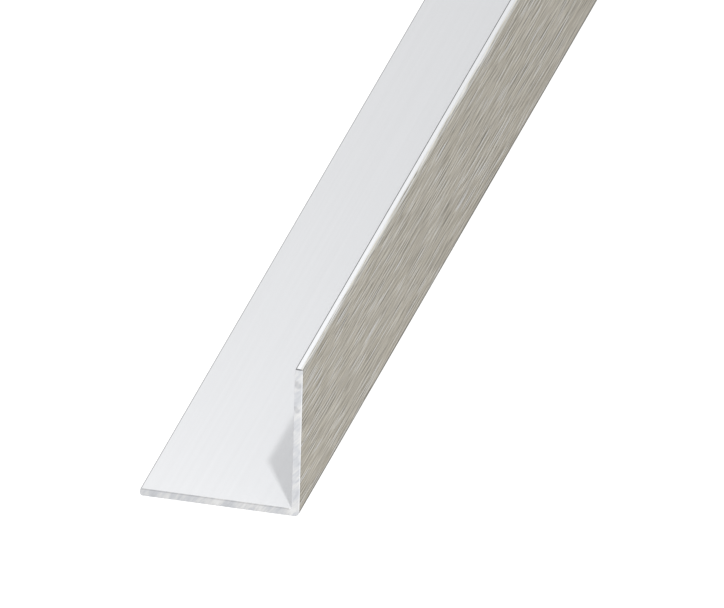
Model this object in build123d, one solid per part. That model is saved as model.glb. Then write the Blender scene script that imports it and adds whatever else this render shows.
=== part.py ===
from build123d import *
import os

# Driving dimensions, in millimetres
LEG_WIDTH = 20.0  # outside width of each leg, from the heel to its toe
WALL = 1.0  # thickness of both legs
LENGTH = 1000.0  # length that the stock is sold in
HEEL_RADIUS = 0.7  # rounding of the outside corner where the legs meet
ROOT_RADIUS = 0.2  # fillet in the inside corner
TOE_OUTER_RADIUS = 0.4  # rounding of a toe on the side of the outer face
TOE_INNER_RADIUS = 0.3  # rounding of a toe on the side of the inner face
END_BREAK = 0.08  # saw burr broken off around both cut ends
WALL_SHARE = 0.45  # most of the wall that one rounding of a toe may take


def toe_radius(wanted):
    """A toe's rounding, limited so that both of a toe's roundings fit on the wall."""
    return min(wanted, WALL_SHARE * WALL)


def section():
    """Cross-section of the angle: one leg flat on the ground, the other upright at +X."""
    edge = LEG_WIDTH / 2
    corners = [
        ((edge, 0), HEEL_RADIUS),
        ((edge, LEG_WIDTH), toe_radius(TOE_OUTER_RADIUS)),
        ((edge - WALL, LEG_WIDTH), toe_radius(TOE_INNER_RADIUS)),
        ((edge - WALL, WALL), ROOT_RADIUS),
        ((-edge, WALL), toe_radius(TOE_INNER_RADIUS)),
        ((-edge, 0), toe_radius(TOE_OUTER_RADIUS)),
    ]
    with BuildSketch(Plane.XZ) as profile:
        with BuildLine():
            FilletPolyline(
                *[place for place, _ in corners],
                radius=[radius for _, radius in corners],
                close=True,
            )
        make_face()
    return profile.sketch


def angle_section():
    """The drawn length of the section along Y, centred on the origin, with its ends deburred."""
    bar = extrude(section(), amount=LENGTH / 2, both=True)
    ends = bar.faces().filter_by(Axis.Y)
    return chamfer(ends.edges(), END_BREAK)


os.makedirs("parts", exist_ok=True)
export_step(angle_section(), "parts/angle_section.step")
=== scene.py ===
"""Looks of the angle section: its brushed and plain skin, its sawn ends, the floor, light and camera."""

import logging
import math
from dataclasses import dataclass
from enum import Enum
from typing import Callable, Mapping, Sequence

import bmesh
import bpy
from bmesh.types import BMesh, BMEdge, BMFace, BMVert
from bpy.types import ID, Material, Node, NodeSocket, NodeTree, Object, ShaderNodeTree
from mathutils import Color, Matrix, Vector


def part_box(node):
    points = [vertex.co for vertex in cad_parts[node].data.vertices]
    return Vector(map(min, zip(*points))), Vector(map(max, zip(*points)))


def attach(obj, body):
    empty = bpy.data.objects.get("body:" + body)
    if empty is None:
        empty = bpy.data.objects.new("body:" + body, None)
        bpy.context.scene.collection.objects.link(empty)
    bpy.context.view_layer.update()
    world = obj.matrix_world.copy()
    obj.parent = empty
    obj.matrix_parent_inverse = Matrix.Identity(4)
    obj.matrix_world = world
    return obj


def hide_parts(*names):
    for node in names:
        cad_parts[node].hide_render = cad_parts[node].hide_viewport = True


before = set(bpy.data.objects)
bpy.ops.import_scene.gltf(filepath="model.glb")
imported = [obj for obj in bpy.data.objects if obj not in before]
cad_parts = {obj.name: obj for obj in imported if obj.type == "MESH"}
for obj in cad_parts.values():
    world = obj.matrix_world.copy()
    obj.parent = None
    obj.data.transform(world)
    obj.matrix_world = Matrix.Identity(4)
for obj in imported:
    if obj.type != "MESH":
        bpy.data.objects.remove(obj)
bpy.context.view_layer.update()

MM = 0.001
SNUG = 0.9999999  # keeps rounding errors of the mesh inside the solid's box
NODE = "angle_section"
BODY = "root"
SKIN_LAYER = "OFBake"
END_FACING = 0.2  # a face belongs to a sawn end if its normal's Y is past this
DARKEST = 0.1  # the least that a tint is multiplied by
WHITEST = 0.95  # the most that a base colour's red, green or blue may be
MIX_INPUTS = (0, 6, 7)  # a Mix node's share and its two colours
MIX_RESULT = 2  # its mixed colour
POINT = 1e-6  # a run whose length squared is under this counts as a point
QUARTER_TURN = 0.25  # lays the gloss of the brushing across its lines
SCRATCH_CORE = 0.1  # how far from its middle a scratch keeps its full strength, as a share of its cell
SCRATCH_RIM = 0.35  # how far from its middle it has faded out
SCRATCH_MIDDLE = 0.36  # the cell's number at which its scratch is as light as the face
BREAK_SWING = 6.0  # how strongly the lines of a broken layer come and go
BREAK_WIDTH = 2.0  # how many lines come and go together
BREAK_SEED = 0.5  # what is added to the layer's seed for this
log = logging.getLogger("scene")


class Finish(Enum):
    """The finishes of the angle, in the order of the piece's material slots."""

    BRUSHED = 0
    PLAIN = 1
    SAWN = 2


@dataclass(frozen=True)
class Section:
    """The angle's cross-section and length, in millimetres.

    The outside sizes come from the frame. The wall and the roundings can't be read from a box, so they are
    the driving sizes of the solid again.
    """

    leg: float
    length: float
    wall: float = 1.0
    heel_radius: float = 0.7
    root_radius: float = 0.2
    toe_outer_radius: float = 0.4
    toe_inner_radius: float = 0.3
    end_break: float = 0.08

    @property
    def edge(self) -> float:
        """X of the upright leg's outer face."""
        return self.leg / 2

    @property
    def inner(self) -> float:
        """X of the upright leg's inner face."""
        return self.edge - self.wall

    @property
    def end(self) -> float:
        """Y of the far sawn end. The near end is at minus this."""
        return self.length / 2

    def corners(self) -> list[tuple[Vector, float]]:
        """Corners of the section at the near end, each with its rounding.

        Returns:
            The six corners in order round the outline: the heel, the upright leg's toe, outside and inside,
            the root, and the flat leg's toe, inside and outside.
        """
        places = [
            (self.edge, 0.0, self.heel_radius),
            (self.edge, self.leg, self.toe_outer_radius),
            (self.inner, self.leg, self.toe_inner_radius),
            (self.inner, self.wall, self.root_radius),
            (-self.edge, self.wall, self.toe_inner_radius),
            (-self.edge, 0.0, self.toe_outer_radius),
        ]
        return [(Vector((x, -self.end, z)), radius) for x, z, radius in places]


class Nodes:
    """A node tree with short calls for placing nodes and joining them."""

    def __init__(self, tree: NodeTree) -> None:
        """Keeps the tree that nodes are added to."""
        self.tree = tree

    def add(self, kind: str, **settings: object) -> Node:
        """Adds a node.

        Args:
            kind: The node's type name, without the ShaderNode prefix.
            settings: Attributes of the node, by name.

        Returns:
            The new node.
        """
        name = kind if kind.startswith("NodeGroup") else "ShaderNode" + kind
        node = self.tree.nodes.new(name)
        for key, value in settings.items():
            setattr(node, key, value)
        return node

    def put(self, target: NodeSocket, source: object) -> None:
        """Joins a socket to another, or sets its plain value.

        Args:
            target: The input.
            source: The output that it is joined to, or the value.
        """
        if isinstance(source, NodeSocket):
            self.tree.links.new(source, target)
        else:
            target.default_value = source

    def feed(self, node: Node, *sources: object, **named: object) -> Node:
        """Joins or sets a node's inputs.

        Args:
            node: The node.
            sources: Sockets or plain values for its first inputs, in order.
            named: Sources for other inputs, by name.

        Returns:
            The node.
        """
        for socket, source in zip(node.inputs, sources):
            self.put(socket, source)
        for key, source in named.items():
            self.put(node.inputs[key], source)
        return node

    def use(self, group: ShaderNodeTree, **named: object) -> NodeSocket:
        """A node group's first output, from a source for each of its inputs."""
        return self.feed(self.add("Group", node_tree=group), **named).outputs[0]

    def math(self, operation: str, *values: object) -> NodeSocket:
        """The result of a Math node's operation on sockets or numbers."""
        return self.feed(self.add("Math", operation=operation), *values).outputs[0]

    def vector(self, operation: str, *values: object) -> Node:
        """A Vector Math node, whose outputs are Vector and Value."""
        return self.feed(self.add("VectorMath", operation=operation), *values)

    def scaled(self, vector: object, factor: object) -> NodeSocket:
        """A vector or a colour times a number."""
        return self.feed(self.vector("SCALE", vector), Scale=factor).outputs[0]

    def split(self, vector: NodeSocket) -> tuple[NodeSocket, ...]:
        """A vector's X, Y and Z."""
        return tuple(self.feed(self.add("SeparateXYZ"), vector).outputs)

    def joined(self, x: object, y: object, z: object) -> NodeSocket:
        """The vector with this X, Y and Z."""
        return self.feed(self.add("CombineXYZ"), x, y, z).outputs[0]

    def ramp(
        self, value: object, low: object, high: object, to_low: float = 0.0, to_high: float = 1.0
    ) -> NodeSocket:
        """A smooth step of a value from one number to another.

        Args:
            value: What is stepped.
            low: Where the step starts.
            high: Where it ends.
            to_low: The result before the step.
            to_high: The result after it.

        Returns:
            The result's socket.
        """
        step = self.add("MapRange", interpolation_type="SMOOTHSTEP")
        return self.feed(step, value, low, high, to_low, to_high).outputs["Result"]

    def noise(
        self, place: NodeSocket, detail: float, roughness: float, seed: NodeSocket | None = None
    ) -> NodeSocket:
        """Soft noise.

        Args:
            place: Where it is read, in multiples of its size.
            detail: How many finer noises lie on it.
            roughness: How strong these are.
            seed: Its fourth coordinate, if it has one.

        Returns:
            The noise, centred on zero.
        """
        texture = self.add("TexNoise", noise_dimensions="3D" if seed is None else "4D")
        self.feed(texture, Vector=place, Scale=1.0, Detail=detail, Roughness=roughness)
        if seed is not None:
            self.feed(texture, W=seed)
        return self.math("SUBTRACT", texture.outputs[0], 0.5)

    def mixed(self, first: object, second: object, share: object) -> NodeSocket:
        """A colour between two others.

        Args:
            first: The first colour, a socket or four numbers.
            second: The second colour.
            share: How much of the second colour there is.

        Returns:
            The colour's socket.
        """
        mix = self.add("Mix", data_type="RGBA")
        for index, source in zip(MIX_INPUTS, (share, first, second)):
            self.put(mix.inputs[index], source)
        return mix.outputs[MIX_RESULT]

    def toned(self, tint: object, tone: object) -> NodeSocket:
        """A tint made lighter or darker, and kept under full white.

        Args:
            tint: The tint, a socket or four numbers.
            tone: What it is multiplied by.

        Returns:
            The colour's socket.
        """
        if not isinstance(tint, NodeSocket):
            tint = tint[:3]
        lit = self.scaled(tint, self.math("MAXIMUM", tone, DARKEST))
        return self.vector("MINIMUM", lit, (WHITEST,) * 3).outputs[0]


Given = Mapping[str, NodeSocket]
Fill = Callable[[Nodes, Given], NodeSocket]
Tint = tuple[float, float, float]


def grey(value: float) -> tuple[float, float, float, float]:
    """A neutral colour's four linear values."""
    return value, value, value, 1.0


def linear(tint: Tint) -> tuple[float, float, float, float]:
    """A colour's four linear values from its three screen values of 0 to 255."""
    return *Color([value / 255 for value in tint]).from_srgb_to_scene_linear(), 1.0


def add_object(name: str, data: ID) -> Object:
    """Puts an object into the scene.

    Args:
        name: The object's name.
        data: Its mesh, lamp or camera.

    Returns:
        The object.
    """
    item = bpy.data.objects.new(name, data)
    bpy.context.scene.collection.objects.link(item)
    return item


def new_material(name: str) -> tuple[Material, Nodes]:
    """Makes a material whose node tree is still empty.

    Args:
        name: The material's name.

    Returns:
        The material and its nodes.
    """
    material = bpy.data.materials.new(name)
    material.use_nodes = True
    material.node_tree.nodes.clear()
    return material, Nodes(material.node_tree)


def make_group(name: str, inputs: dict[str, str], output: str, fill: Fill) -> ShaderNodeTree:
    """Makes a shader node group.

    Args:
        name: The group's name.
        inputs: The kind of each input, Float or Vector, by its name.
        output: The name of its number output.
        fill: Called with the group's nodes and its inputs by name, and returns what the output shows.

    Returns:
        The group's tree.
    """
    tree = bpy.data.node_groups.new(name, "ShaderNodeTree")
    for key, kind in inputs.items():
        tree.interface.new_socket(key, in_out="INPUT", socket_type="NodeSocket" + kind)
    tree.interface.new_socket(output, in_out="OUTPUT", socket_type="NodeSocketFloat")
    nodes = Nodes(tree)
    result = fill(nodes, dict(nodes.add("NodeGroupInput").outputs.items()))
    nodes.feed(nodes.add("NodeGroupOutput"), result)
    return tree


def fill_grain(nodes: Nodes, given: Given) -> NodeSocket:
    """Fine lines along Y, with a width, a length and a seed.

    Args:
        nodes: The group's nodes.
        given: Place, Width and Length in millimetres, and Seed.

    Returns:
        The lines, centred on zero.
    """
    across = nodes.math("DIVIDE", 1.0, given["Width"])
    along = nodes.math("DIVIDE", 1.0, given["Length"])
    place = nodes.vector("MULTIPLY", given["Place"], nodes.joined(across, along, across)).outputs[0]
    return nodes.noise(place, detail=1.0, roughness=0.5, seed=given["Seed"])


def fill_scratches(nodes: Nodes, given: Given) -> NodeSocket:
    """Single straight scratches along Y, some lighter and some darker than the face.

    Args:
        nodes: The group's nodes.
        given: Place on the unrolled skin, how far apart the scratches lie across and along in millimetres,
            and Seed.

    Returns:
        The scratches, centred on zero.
    """
    around, along, _ = nodes.split(given["Place"])
    across = nodes.math("DIVIDE", around, given["Width"])
    cell = nodes.joined(across, nodes.math("DIVIDE", along, given["Length"]), given["Seed"])
    cells = nodes.feed(nodes.add("TexVoronoi"), Vector=cell, Scale=1.0)
    mask = nodes.ramp(cells.outputs["Distance"], SCRATCH_CORE, SCRATCH_RIM, 1.0, 0.0)
    return nodes.math("MULTIPLY", mask, nodes.math("SUBTRACT", cells.outputs["Color"], SCRATCH_MIDDLE))


def fill_band(nodes: Nodes, given: Given) -> NodeSocket:
    """A soft band round a straight run in the section, as long as the bar.

    Args:
        nodes: The group's nodes.
        given: Place, the run's two ends From and To, how far the band reaches and how much of that is its
            soft border, all in millimetres.

    Returns:
        The mask, 1 on the run and 0 where the band ends.
    """
    flat = nodes.vector("MULTIPLY", given["Place"], (1, 0, 1)).outputs[0]
    off = nodes.vector("SUBTRACT", flat, given["From"]).outputs[0]
    run = nodes.vector("SUBTRACT", given["To"], given["From"]).outputs[0]
    part = nodes.vector("DOT_PRODUCT", off, run).outputs["Value"]
    whole = nodes.vector("DOT_PRODUCT", run, run).outputs["Value"]
    share = nodes.math("DIVIDE", part, nodes.math("MAXIMUM", whole, POINT))
    share = nodes.math("MINIMUM", nodes.math("MAXIMUM", share, 0.0), 1.0)
    gap = nodes.vector("DISTANCE", off, nodes.scaled(run, share)).outputs["Value"]
    return nodes.ramp(gap, nodes.math("SUBTRACT", given["Reach"], given["Soft"]), given["Reach"], 1.0, 0.0)


def fill_painted_end_shade(nodes: Nodes, given: Given) -> NodeSocket:
    """A soft band beside both sawn ends, where the brushed face gets a painted shade line.

    Args:
        nodes: The group's nodes.
        given: Place, the far end's Y, and how far the band reaches, all in millimetres.

    Returns:
        The mask, 1 at the ends and 0 where the band ends.
    """
    _, along, _ = nodes.split(given["Place"])
    gap = nodes.math("SUBTRACT", given["End"], nodes.math("ABSOLUTE", along))
    return nodes.ramp(gap, 0.0, given["Reach"], 1.0, 0.0)


class Effects:
    """The shader node groups that the finishes share, each made once."""

    def __init__(self) -> None:
        """Makes the groups."""
        pattern = {"Place": "Vector", "Width": "Float", "Length": "Float", "Seed": "Float"}
        run = {"Place": "Vector", "From": "Vector", "To": "Vector", "Reach": "Float", "Soft": "Float"}
        ends = {"Place": "Vector", "End": "Float", "Reach": "Float"}
        self.grain = make_group("drawn_grain", pattern, "Lines", fill_grain)
        self.scratches = make_group("single_scratches", pattern, "Lines", fill_scratches)
        self.band = make_group("edge_band", run, "Mask", fill_band)
        # the mask of the painted shade line beside the sawn ends
        self.cut = make_group("painted_end_shade_band", ends, "Mask", fill_painted_end_shade)


@dataclass(frozen=True)
class Layer:
    """A layer of lines: their width and length in millimetres, their strength and their seed."""

    width: float
    length: float
    strength: float
    seed: float


@dataclass(frozen=True)
class Grain(Layer):
    """Drawn or brushed lines, side by side.

    The lines of a broken layer come and go along the bar, about once in the length that it gives.
    """

    broken: float | None = None

    def lines(self, nodes: Nodes, effects: Effects, place: NodeSocket) -> NodeSocket:
        """The layer's lines.

        Args:
            nodes: The material's nodes.
            effects: The shared groups.
            place: Coordinates in millimetres.

        Returns:
            The lines, centred on zero and times the layer's strength.
        """
        lines = nodes.use(effects.grain, Place=place, Width=self.width, Length=self.length, Seed=self.seed)
        if self.broken is not None:
            width, seed = BREAK_WIDTH * self.width, self.seed + BREAK_SEED
            breaks = nodes.use(effects.grain, Place=place, Width=width, Length=self.broken, Seed=seed)
            share = nodes.math("MAXIMUM", nodes.math("MULTIPLY_ADD", breaks, BREAK_SWING, 1.0), 0.0)
            lines = nodes.math("MULTIPLY", lines, share)
        return nodes.math("MULTIPLY", lines, self.strength)


@dataclass(frozen=True)
class Scratches(Layer):
    """Single scratches, as far apart across and along as the layer's width and length say."""

    def lines(self, nodes: Nodes, effects: Effects, place: NodeSocket) -> NodeSocket:
        """The layer's scratches.

        Args:
            nodes: The material's nodes.
            effects: The shared groups.
            place: Coordinates on the unrolled skin, in millimetres.

        Returns:
            The scratches, centred on zero and times the layer's strength.
        """
        group = effects.scratches
        lines = nodes.use(group, Place=place, Width=self.width, Length=self.length, Seed=self.seed)
        return nodes.math("MULTIPLY", lines, self.strength)


@dataclass(frozen=True)
class Band:
    """A narrow band along an edge, in millimetres.

    It has a run in the section as X and Z, a reach, the soft part of that reach, and its middle's tone.
    """

    start: tuple[float, float]
    stop: tuple[float, float]
    reach: float
    soft: float
    tone: float

    def mask(self, nodes: Nodes, effects: Effects, place: NodeSocket) -> NodeSocket:
        """Where the band is.

        Args:
            nodes: The material's nodes.
            effects: The shared groups.
            place: Coordinates in millimetres.

        Returns:
            The mask, 1 in the band's middle and 0 beyond its reach.
        """
        start, stop = ((x, 0.0, z) for x, z in (self.start, self.stop))
        return nodes.use(effects.band, Place=place, From=start, To=stop, Reach=self.reach, Soft=self.soft)

    def shade(self, nodes: Nodes, effects: Effects, place: NodeSocket, tone: object) -> NodeSocket:
        """Makes the tone lighter or darker in the band.

        Args:
            nodes: The material's nodes.
            effects: The shared groups.
            place: Coordinates in millimetres.
            tone: The tone so far.

        Returns:
            The new tone.
        """
        gain = nodes.math("MULTIPLY_ADD", self.mask(nodes, effects, place), self.tone - 1.0, 1.0)
        return nodes.math("MULTIPLY", tone, gain)


@dataclass(frozen=True)
class Surface:
    """What all finishes share: the shader's constant values, and what lines do to its gloss and relief.

    The relief is in millimetres. The roughness swing is how much smoother a light line is than the face, and
    grazing is how bright the gloss stays at a flat angle.
    """

    name: str
    metallic: float
    roughness: float
    roughness_swing: float
    relief: float
    anisotropic: float = 0.0
    specular: float = 0.5
    grazing: float = 0.85

    def start(self) -> tuple[Material, Nodes, Node, NodeSocket]:
        """Makes the material with its shader.

        Returns:
            The material, its nodes, the Principled node and the object coordinates in millimetres.
        """
        material, nodes = new_material(self.name)
        shader = nodes.feed(nodes.add("BsdfPrincipled"), Metallic=self.metallic)
        nodes.put(shader.inputs["Specular IOR Level"], self.specular)
        nodes.put(shader.inputs["Specular Tint"], grey(self.grazing))
        if self.anisotropic:
            tangent = nodes.add("Tangent", direction_type="UV_MAP", uv_map=SKIN_LAYER)
            nodes.feed(shader, Anisotropic=self.anisotropic, Tangent=tangent.outputs[0])
            nodes.put(shader.inputs["Anisotropic Rotation"], QUARTER_TURN)
        nodes.feed(nodes.add("OutputMaterial"), Surface=shader.outputs[0])
        place = nodes.scaled(nodes.add("TexCoord").outputs["Object"], 1 / MM)
        return material, nodes, shader, place

    def relieve(self, nodes: Nodes, shader: Node, lines: NodeSocket) -> None:
        """Lets lines change the roughness and the relief.

        Args:
            nodes: The material's nodes.
            shader: The Principled node.
            lines: The lines, centred on zero.
        """
        gloss = nodes.math("MULTIPLY_ADD", lines, -self.roughness_swing, self.roughness)
        bump = nodes.feed(nodes.add("Bump"), Strength=1.0, Distance=self.relief * MM, Height=lines)
        nodes.feed(shader, Roughness=gloss, Normal=bump.outputs[0])


@dataclass(frozen=True)
class BrushedSkin:
    """The warm grey outer faces, brushed along the length.

    No line darkens the face by more than the deepest share. The lighter a line is, the more tint_swing moves
    its tint from warm to cool. Beside each line lies another of the other tone, a groove away and as strong
    as the counter share. The face is darker by end_shade_tone within end_shade_reach of a sawn end, a painted
    shade line along the cut edge; the heel's lower rounding has painted shade and the toe's outer rounding a
    painted highlight.
    """

    section: Section
    surface: Surface = Surface(
        "brushed_outer_face",
        metallic=1.0,
        roughness=0.36,
        roughness_swing=0.08,
        relief=0.002,
        anisotropic=0.5,
    )
    cool: Tint = (208, 203, 192)
    warm: Tint = (211.5, 203.5, 184.5)
    # the tint of the painted highlight on the toe's outer rounding
    toe_highlight_tint: Tint = (206, 204, 196.5)
    layers: tuple[Grain | Scratches, ...] = (
        Grain(0.16, 8.0, 1.6, 1.0, broken=3.0),
        Grain(0.16, 20.0, 1.4, 2.0, broken=5.0),
        Grain(2.0, 30.0, 0.3, 5.0),
        Scratches(0.3, 10.0, 4.0, 1.0),
        Scratches(0.3, 16.0, 4.0, 5.0),
        Scratches(0.2, 12.0, 4.0, 9.0),
    )
    tint_layer: Grain = Grain(0.6, 9.0, 1.0, 11.0)
    tint_middle: float = 0.5
    tint_swing: float = 1.0
    deepest: float = 0.6
    # the painted shade line beside each sawn end: how far it reaches and how dark it is
    end_shade_reach: float = 0.4
    end_shade_tone: float = 0.42
    groove: float = 0.3
    counter: float = 0.3

    def bands(self) -> tuple[Band, Band]:
        """The bands along the edges of the brushed face.

        Returns:
            The dark lower rounding of the heel, a painted shade, and the bright outer rounding of the upright
            leg's toe, a painted highlight.
        """
        s = self.section
        return (
            # painted shade on the heel's lower rounding
            Band((s.edge, 0.58), (s.edge - 0.38, 0.05), reach=0.3, soft=0.15, tone=0.38),
            # painted highlight on the toe's outer rounding
            Band((s.edge, s.leg), (s.edge, s.leg - 0.3), reach=0.3, soft=0.2, tone=1.3),
        )

    def brushing(self, nodes: Nodes, effects: Effects, place: NodeSocket) -> NodeSocket:
        """All the layers together, each line with a fainter one of the other tone beside it.

        Args:
            nodes: The material's nodes.
            effects: The shared groups.
            place: Coordinates in millimetres.

        Returns:
            The lines, centred on zero.
        """
        x, y, z = nodes.split(place)
        here = nodes.joined(nodes.math("SUBTRACT", x, z), y, 0.0)
        beside = nodes.vector("ADD", here, (self.groove, 0, 0)).outputs[0]
        lines: object = 0.0
        for layer in self.layers:
            lines = nodes.math("ADD", lines, layer.lines(nodes, effects, here))
            lines = nodes.math("MULTIPLY_ADD", layer.lines(nodes, effects, beside), -self.counter, lines)
        return lines

    def dress(self, effects: Effects) -> Material:
        """Makes the material.

        Args:
            effects: The shared groups.

        Returns:
            The material.
        """
        material, nodes, shader, place = self.surface.start()
        lines = nodes.math("MAXIMUM", self.brushing(nodes, effects, place), -self.deepest)
        self.surface.relieve(nodes, shader, lines)
        tone = nodes.math("ADD", lines, 1.0)
        # the heel's painted shade and the toe's painted highlight
        heel, toe = self.bands()
        for band in (heel, toe):
            tone = band.shade(nodes, effects, place, tone)
        # the painted shade line along the sawn ends' edges
        cut = nodes.use(effects.cut, Place=place, End=self.section.end, Reach=self.end_shade_reach)
        tone = nodes.math("MULTIPLY", tone, nodes.math("MULTIPLY_ADD", cut, self.end_shade_tone - 1.0, 1.0))
        share = nodes.math("ADD", self.tint_layer.lines(nodes, effects, place), self.tint_middle)
        share = nodes.math("MULTIPLY_ADD", lines, -self.tint_swing, share)
        skin = nodes.mixed(linear(self.cool), linear(self.warm), share)
        # the toe's painted highlight takes its own tint
        tint = nodes.mixed(skin, linear(self.toe_highlight_tint), toe.mask(nodes, effects, place))
        nodes.put(shader.inputs["Base Color"], nodes.toned(tint, tone))
        return material


@dataclass(frozen=True)
class PlainSkin:
    """The pale satin inner faces and the toes."""

    section: Section
    surface: Surface = Surface(
        "plain_inner_face",
        metallic=0.35,
        roughness=0.42,
        roughness_swing=0.3,
        relief=0.004,
        specular=0.2,
        grazing=0.5,
    )
    tint: Tint = (230, 231, 233)
    drawn: Grain = Grain(0.5, 60.0, 0.06, 9.0)
    line_in: float = 0.08
    line_down: float = 0.09

    def painted_toe_shade_line(self, x: float, z: float, tone: float) -> Band:
        """The dark line on the inner rounding of the toe whose inner corner is at x and z."""
        # a painted shade line in the toe's inner rounding
        spot = (x + self.line_in, z - self.line_down)
        return Band(spot, spot, reach=0.17, soft=0.06, tone=tone)

    def bands(self) -> tuple[Band, ...]:
        """The bands along the toes.

        Returns:
            The upright leg's bright toe, a painted highlight, its darker outer edge, a painted shade, and the
            dark lines inside both toes, painted shade lines.
        """
        s = self.section
        inside, outside = (s.inner, s.leg), (s.edge, s.leg)
        return (
            # painted highlight on the upright leg's toe
            Band(inside, outside, reach=0.5, soft=0.1, tone=1.06),
            # painted shade on its outer edge
            Band(outside, outside, reach=0.4, soft=0.1, tone=0.88),
            # painted shade lines inside both toes
            self.painted_toe_shade_line(s.inner, s.leg, tone=0.15),
            self.painted_toe_shade_line(-s.edge, s.wall, tone=0.5),
        )

    def dress(self, effects: Effects) -> Material:
        """Makes the material.

        Args:
            effects: The shared groups.

        Returns:
            The material.
        """
        material, nodes, shader, place = self.surface.start()
        lines = self.drawn.lines(nodes, effects, place)
        self.surface.relieve(nodes, shader, lines)
        tone = nodes.math("ADD", lines, 1.0)
        # painted highlight and painted shade along the toes
        for band in self.bands():
            tone = band.shade(nodes, effects, place, tone)
        nodes.put(shader.inputs["Base Color"], nodes.toned(linear(self.tint), tone))
        return material


@dataclass(frozen=True)
class SawnEnd:
    """The bare saw-cut ends and the edges broken round them.

    The blade's arcs turn about its middle, which is given as X and Z. Its marks and the soft patches between
    them drift slowly along the bar, so that the two ends differ.
    """

    section: Section
    surface: Surface = Surface("sawn_end", metallic=0.4, roughness=0.45, roughness_swing=0.2, relief=0.01)
    cool: Tint = (228, 230, 234)
    warm: Tint = (233, 233, 233)
    tint_span: float = 0.08
    blade: tuple[float, float] = (95.0, -70.0)
    mark_width: float = 0.35
    mark_length: float = 2.0
    mark_strength: float = 0.45
    patch_width: float = 1.8
    patch_length: float = 2.88
    patch_strength: float = 0.5
    drift: float = 0.01

    def bands(self) -> tuple[Band, ...]:
        """The tones of the cut, of which the flat leg's end comes first.

        Returns:
            That end's upper rim, a painted shade line, and its middle, and then the upright end's outer rim,
            a painted highlight, its top, a painted shade line, and two clouds.
        """
        s = self.section
        return (
            # painted shade line on the flat leg end's upper rim
            Band((-s.edge, s.wall), (s.inner - 0.4, s.wall), reach=0.2, soft=0.1, tone=0.72),
            Band((-s.edge, 0.5), (s.inner - 0.8, 0.5), reach=0.9, soft=0.4, tone=0.92),
            # painted highlight on the upright end's outer rim
            Band((s.edge, 1.0), (s.edge, s.leg - 0.8), reach=0.16, soft=0.08, tone=1.22),
            # painted shade line along the upright end's top
            Band((s.inner + 0.2, s.leg), (s.edge - 0.2, s.leg), reach=0.2, soft=0.08, tone=0.25),
            Band((s.inner + 0.1, s.leg - 2.0), (s.edge - 0.5, s.leg - 2.3), reach=0.6, soft=0.4, tone=0.82),
            Band(
                (s.inner + 0.15, s.leg - 5.4), (s.inner + 0.4, s.leg - 5.7), reach=0.5, soft=0.35, tone=0.84
            ),
        )

    def marks(self, nodes: Nodes, place: NodeSocket) -> NodeSocket:
        """The blade's arcs and the soft patches between them.

        Args:
            nodes: The material's nodes.
            place: Coordinates in millimetres.

        Returns:
            The marks, centred on zero.
        """
        off = nodes.vector("SUBTRACT", place, (self.blade[0], 0.0, self.blade[1])).outputs[0]
        x, y, z = nodes.split(off)
        square = nodes.math("ADD", nodes.math("MULTIPLY", x, x), nodes.math("MULTIPLY", z, z))
        reach = nodes.math("SQRT", square)
        turn = nodes.math("MULTIPLY", nodes.math("ARCTAN2", z, x), math.hypot(*self.blade))
        along = nodes.math("MULTIPLY", y, self.drift)
        marks: object = 0.0
        for width, length, strength in (
            (self.mark_width, self.mark_length, self.mark_strength),
            (self.patch_width, self.patch_length, self.patch_strength),
        ):
            across, round_blade = nodes.math("DIVIDE", reach, width), nodes.math("DIVIDE", turn, length)
            noise = nodes.noise(nodes.joined(across, round_blade, along), detail=2.0, roughness=0.55)
            marks = nodes.math("ADD", marks, nodes.math("MULTIPLY", noise, strength))
        return marks

    def dress(self, effects: Effects) -> Material:
        """Makes the material.

        Args:
            effects: The shared groups.

        Returns:
            The material.
        """
        material, nodes, shader, place = self.surface.start()
        marks = self.marks(nodes, place)
        self.surface.relieve(nodes, shader, marks)
        tone = nodes.math("ADD", marks, 1.0)
        # painted shade lines and a painted highlight on the rims, and the clouds
        for band in self.bands():
            tone = band.shade(nodes, effects, place, tone)
        share = nodes.ramp(marks, -self.tint_span, self.tint_span)
        tint = nodes.mixed(linear(self.cool), linear(self.warm), share)
        nodes.put(shader.inputs["Base Color"], nodes.toned(tint, tone))
        return material


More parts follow.
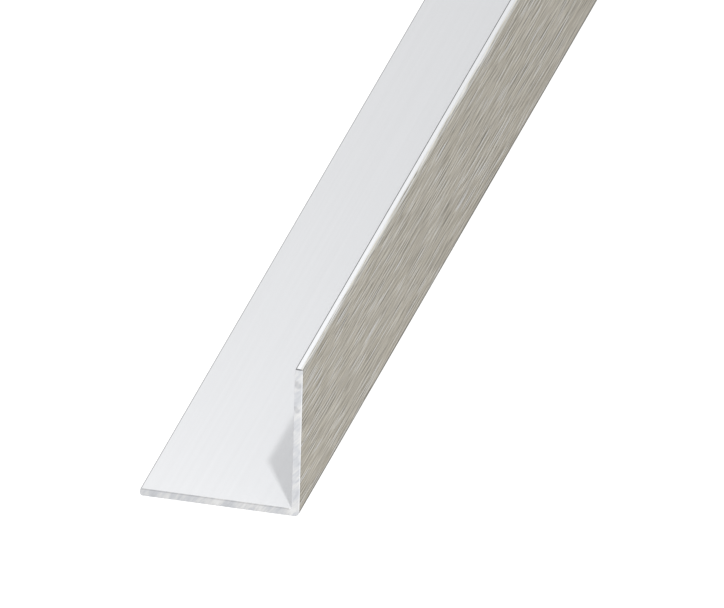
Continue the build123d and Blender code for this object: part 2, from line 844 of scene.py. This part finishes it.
@dataclass(frozen=True)
class SkinMap:
    """The flat layout of the skin, with its length across and its girth up, and the ends beside it.

    The places and the margin are shares of the layout's width and height.
    """

    section: Section
    skin_from: float = 0.004
    skin_to: float = 0.93
    end_from: float = 0.95
    end_to: float = 0.98
    margin: float = 0.006

    def girth(self, way: Vector, place: Vector) -> float:
        """How far round the section a place is.

        Args:
            way: The normal of the face that the place is on.
            place: The place.

        Returns:
            Millimetres from the flat leg's toe, first under the leg, up the outer face, then back inside.
        """
        s = self.section
        if abs(way.z) > abs(way.x):
            if way.z < 0:
                return s.edge + place.x
            if place.z > s.leg / 2:
                return 2 * s.leg + s.edge - place.x
            return 3 * s.leg + s.inner - place.x
        if way.x > 0:
            return s.leg + place.z
        if place.x > 0:
            return 2 * s.leg + s.wall + s.leg - place.z
        return 4 * s.leg - place.z

    def spot(self, face: BMFace, place: Vector) -> tuple[float, float]:
        """Where a face's corner lies on the layout.

        Args:
            face: The face.
            place: The place of its corner.

        Returns:
            The two coordinates, from 0 to 1.
        """
        s = self.section
        if abs(face.normal.y) > END_FACING:
            middle = face.calc_center_median()
            upright = middle.x + middle.z > s.edge
            along = s.leg + place.z if upright else s.edge + place.x
            across = s.edge - place.x if upright else place.z
            half = 0.5 - 2 * self.margin
            start = self.margin + (0.5 if middle.y > 0 else 0.0)
            side = self.end_from + (self.end_to - self.end_from) * across / s.wall
            return side, start + half * along / (2 * s.leg)
        share = (place.y + s.end) / s.length
        lap = self.girth(face.normal, place) / (4 * s.leg)
        side = self.skin_from + (self.skin_to - self.skin_from) * share
        return side, self.margin + (1 - 2 * self.margin) * lap

    def lay(self, mesh: BMesh) -> None:
        """Writes the layout as the mesh's UV map.

        Args:
            mesh: The finished mesh, in millimetres.
        """
        layer = mesh.loops.layers.uv.new(SKIN_LAYER)
        for face in mesh.faces:
            for loop in face.loops:
                loop[layer].uv = self.spot(face, loop.vert.co)


def bevel(
    mesh: BMesh, geom: Sequence[BMVert | BMEdge], affect: str, offset: float, segments: int
) -> None:
    """Rounds corners or breaks edges.

    Args:
        mesh: The mesh.
        geom: The corners or the edges.
        affect: VERTICES or EDGES.
        offset: How far the rounding reaches, in millimetres.
        segments: How many facets it has.
    """
    bmesh.ops.bevel(
        mesh,
        geom=geom,
        offset=offset,
        offset_type="OFFSET",
        segments=segments,
        profile=0.5,
        affect=affect,
        material=-1,
    )


@dataclass
class AngleStock:
    """The length of angle: one closed mesh that stands for the solid, with a slot for each finish.

    An edge is on a sawn end's rim if it lies within end_slack of the end and turns by more than rim_angle, in
    radians. Edges past sharp_angle, in degrees, are shown sharp. A face looks sideways or down, and is
    brushed, if its normal is past side_facing or down_facing.
    """

    section: Section
    name: str = "brushed_angle"
    corner_segments: int = 10
    rim_segments: int = 3
    end_slack: float = 1e-4
    rim_angle: float = 0.5
    sharp_angle: float = 40.0
    side_facing: float = 0.5
    down_facing: float = 0.7

    def outline(self, mesh: BMesh) -> None:
        """Makes the section's face at the near end, rounds its corners and splits it at the mitre.

        Args:
            mesh: The mesh that the face is added to.
        """
        corners = self.section.corners()
        points = [mesh.verts.new(place) for place, _ in corners]
        mesh.faces.new(points)
        for point, (_, radius) in zip(points, corners):
            bevel(mesh, [point], "VERTICES", radius, self.corner_segments)
        heel, _, _, root, _, _ = (place for place, _ in corners)
        mitre = [min(mesh.verts, key=lambda v: (v.co - corner).length) for corner in (heel, root)]
        bmesh.ops.connect_verts(mesh, verts=mitre)

    def draw(self, mesh: BMesh) -> None:
        """Draws the section out to the bar's length and breaks the edges of its two ends.

        Args:
            mesh: The mesh with the section's face.
        """
        grown = bmesh.ops.extrude_face_region(mesh, geom=mesh.faces[:] + mesh.edges[:], use_keep_orig=True)
        moved = [v for v in grown["geom"] if isinstance(v, BMVert)]
        bmesh.ops.translate(mesh, verts=moved, vec=(0, self.section.length, 0))
        bmesh.ops.recalc_face_normals(mesh, faces=mesh.faces[:])
        rims = [edge for edge in mesh.edges if self.on_rim(edge)]
        bevel(mesh, rims, "EDGES", self.section.end_break, self.rim_segments)

    def on_rim(self, edge: BMEdge) -> bool:
        """True if the edge is on the outline of a sawn end."""
        at_end = all(abs(abs(v.co.y) - self.section.end) < self.end_slack for v in edge.verts)
        return at_end and edge.calc_face_angle(0.0) > self.rim_angle

    def finish_of(self, face: BMFace) -> Finish:
        """Which finish a face has.

        Args:
            face: A face of the finished mesh.

        Returns:
            Its finish.
        """
        s = self.section
        if abs(face.normal.y) > END_FACING:
            return Finish.SAWN
        middle = face.calc_center_median()
        by_heel = middle.x > s.inner and middle.z < s.wall
        outward = face.normal.x > self.side_facing or face.normal.z < -self.down_facing
        return Finish.BRUSHED if by_heel or outward else Finish.PLAIN

    def build(self, materials: Sequence[Material]) -> Object:
        """Builds the piece.

        Args:
            materials: One for each finish, in the order of Finish.

        Returns:
            The finished object.
        """
        mesh = bmesh.new()
        self.outline(mesh)
        self.draw(mesh)
        for face in mesh.faces:
            face.material_index = self.finish_of(face).value
            face.smooth = True
        SkinMap(self.section).lay(mesh)
        bmesh.ops.scale(mesh, vec=(MM * SNUG,) * 3, verts=mesh.verts[:])
        data = bpy.data.meshes.new(self.name)
        mesh.to_mesh(data)
        mesh.free()
        data.set_sharp_from_angle(angle=math.radians(self.sharp_angle))
        for material in materials:
            data.materials.append(material)
        piece = add_object(self.name, data)
        level = piece.modifiers.new("even_faces", "WEIGHTED_NORMAL")
        level.keep_sharp = True
        return piece


@dataclass(frozen=True)
class Viewpoint:
    """The parallel projection that the picture has, in degrees and pixels, and its distance in metres."""

    azimuth: float = 13.75
    elevation: float = 26.60
    roll: float = 1.49
    pixels_per_mm: float = 8.2383
    picture: tuple[float, float] = (724.0, 608.0)
    near_toe: tuple[float, float] = (139.6, 495.4)
    distance: float = 1.0
    farthest: float = 100.0

    def place(self, toe: Vector) -> Object:
        """Makes the scene's camera.

        Args:
            toe: The lowest corner of the flat leg's near end, which shows at near_toe.

        Returns:
            The camera.
        """
        a, e, r = (math.radians(v) for v in (self.azimuth, self.elevation, self.roll))
        back = Vector((math.sin(a) * math.cos(e), -math.cos(a) * math.cos(e), math.sin(e)))
        level = Vector((math.cos(a), math.sin(a), 0.0))
        rise = back.cross(level)
        right = level * math.cos(r) + rise * math.sin(r)
        up = rise * math.cos(r) - level * math.sin(r)
        step = MM / self.pixels_per_mm
        middle = toe + right * (self.picture[0] / 2 - self.near_toe[0]) * step
        middle += up * (self.near_toe[1] - self.picture[1] / 2) * step
        data = bpy.data.cameras.new("camera")
        data.type = "ORTHO"
        data.ortho_scale = self.picture[0] * step
        data.clip_end = self.farthest
        camera = add_object("camera", data)
        turn = Matrix((right, up, back)).transposed().to_4x4()
        camera.matrix_world = Matrix.Translation(middle + back * self.distance) @ turn
        bpy.context.scene.camera = camera
        return camera


@dataclass(frozen=True)
class Lamp:
    """A square area lamp that shines at a point. Its sizes are in metres and its power is in watts."""

    name: str
    towards: tuple[float, float, float]
    distance: float
    side: float
    power: float

    def hang(self, target: Vector) -> Object:
        """Hangs the lamp.

        Args:
            target: The point that it shines at.

        Returns:
            The lamp.
        """
        data = bpy.data.lights.new(self.name, "AREA")
        data.size = self.side
        data.energy = self.power
        lamp = add_object(self.name, data)
        way = Vector(self.towards).normalized()
        aim = way.to_track_quat("Z", "Y").to_matrix().to_4x4()
        lamp.matrix_world = Matrix.Translation(target + way * self.distance) @ aim
        lamp.visible_camera = False
        return lamp


@dataclass(frozen=True)
class Studio:
    """The pale floor, lit evenly from within, the surrounding light and the lamp.

    The floor's side is in metres. It glows by floor_glow on the object, and by floor_seen to the camera.
    """

    sky: float = 0.865
    floor_side: float = 12.0
    floor_tone: float = 0.2
    floor_glow: float = 0.45
    floor_seen: float = 1.0
    key: Lamp = Lamp("key", towards=(0.2565, -0.511, 0.82), distance=0.22, side=0.010, power=0.29)

    def floor_finish(self) -> Material:
        """Makes the floor's material: matt, with a glow that is stronger where the camera sees it.

        Returns:
            The material.
        """
        material, nodes = new_material("floor")
        matt = nodes.feed(nodes.add("BsdfDiffuse"), Color=grey(self.floor_tone))
        seen = nodes.add("LightPath").outputs["Is Camera Ray"]
        strength = nodes.math("MULTIPLY_ADD", seen, self.floor_seen - self.floor_glow, self.floor_glow)
        glow = nodes.feed(nodes.add("Emission"), Strength=strength)
        both = nodes.feed(nodes.add("AddShader"), matt.outputs[0], glow.outputs[0])
        nodes.feed(nodes.add("OutputMaterial"), Surface=both.outputs[0])
        return material

    def lay_floor(self) -> Object:
        """Makes the floor.

        Returns:
            The floor, which is stage and no part of the object.
        """
        mesh = bmesh.new()
        bmesh.ops.create_grid(mesh, x_segments=1, y_segments=1, size=self.floor_side / 2)
        data = bpy.data.meshes.new("floor")
        mesh.to_mesh(data)
        mesh.free()
        data.materials.append(self.floor_finish())
        floor = add_object("floor", data)
        return floor

    def light(self, near_end: Vector) -> None:
        """Lights the scene.

        Args:
            near_end: The upright leg's near top corner, which the lamp shines at.
        """
        world = bpy.data.worlds.new("studio")
        world.use_nodes = True
        sky = world.node_tree.nodes["Background"]
        Nodes(world.node_tree).feed(sky, Color=grey(1.0), Strength=self.sky)
        bpy.context.scene.world = world
        bpy.context.scene.view_settings.view_transform = "Standard"
        self.key.hang(near_end)


def main() -> None:
    """Builds the angle, dresses it and sets the studio and the camera round it."""
    logging.basicConfig(level=logging.INFO, format="%(name)s: %(message)s")
    low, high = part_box(NODE)
    section = Section(leg=(high.x - low.x) / MM, length=(high.y - low.y) / MM)
    Viewpoint().place(Vector((low.x, low.y, low.z)))
    studio = Studio()
    studio.lay_floor()
    studio.light(Vector((high.x, low.y, high.z)))
    effects = Effects()
    materials = [finish(section).dress(effects) for finish in (BrushedSkin, PlainSkin, SawnEnd)]
    piece = AngleStock(section).build(materials)
    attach(piece, BODY)
    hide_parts(NODE)
    log.info("%s: %d faces", piece.name, len(piece.data.polygons))


if __name__ == "__main__":
    main()
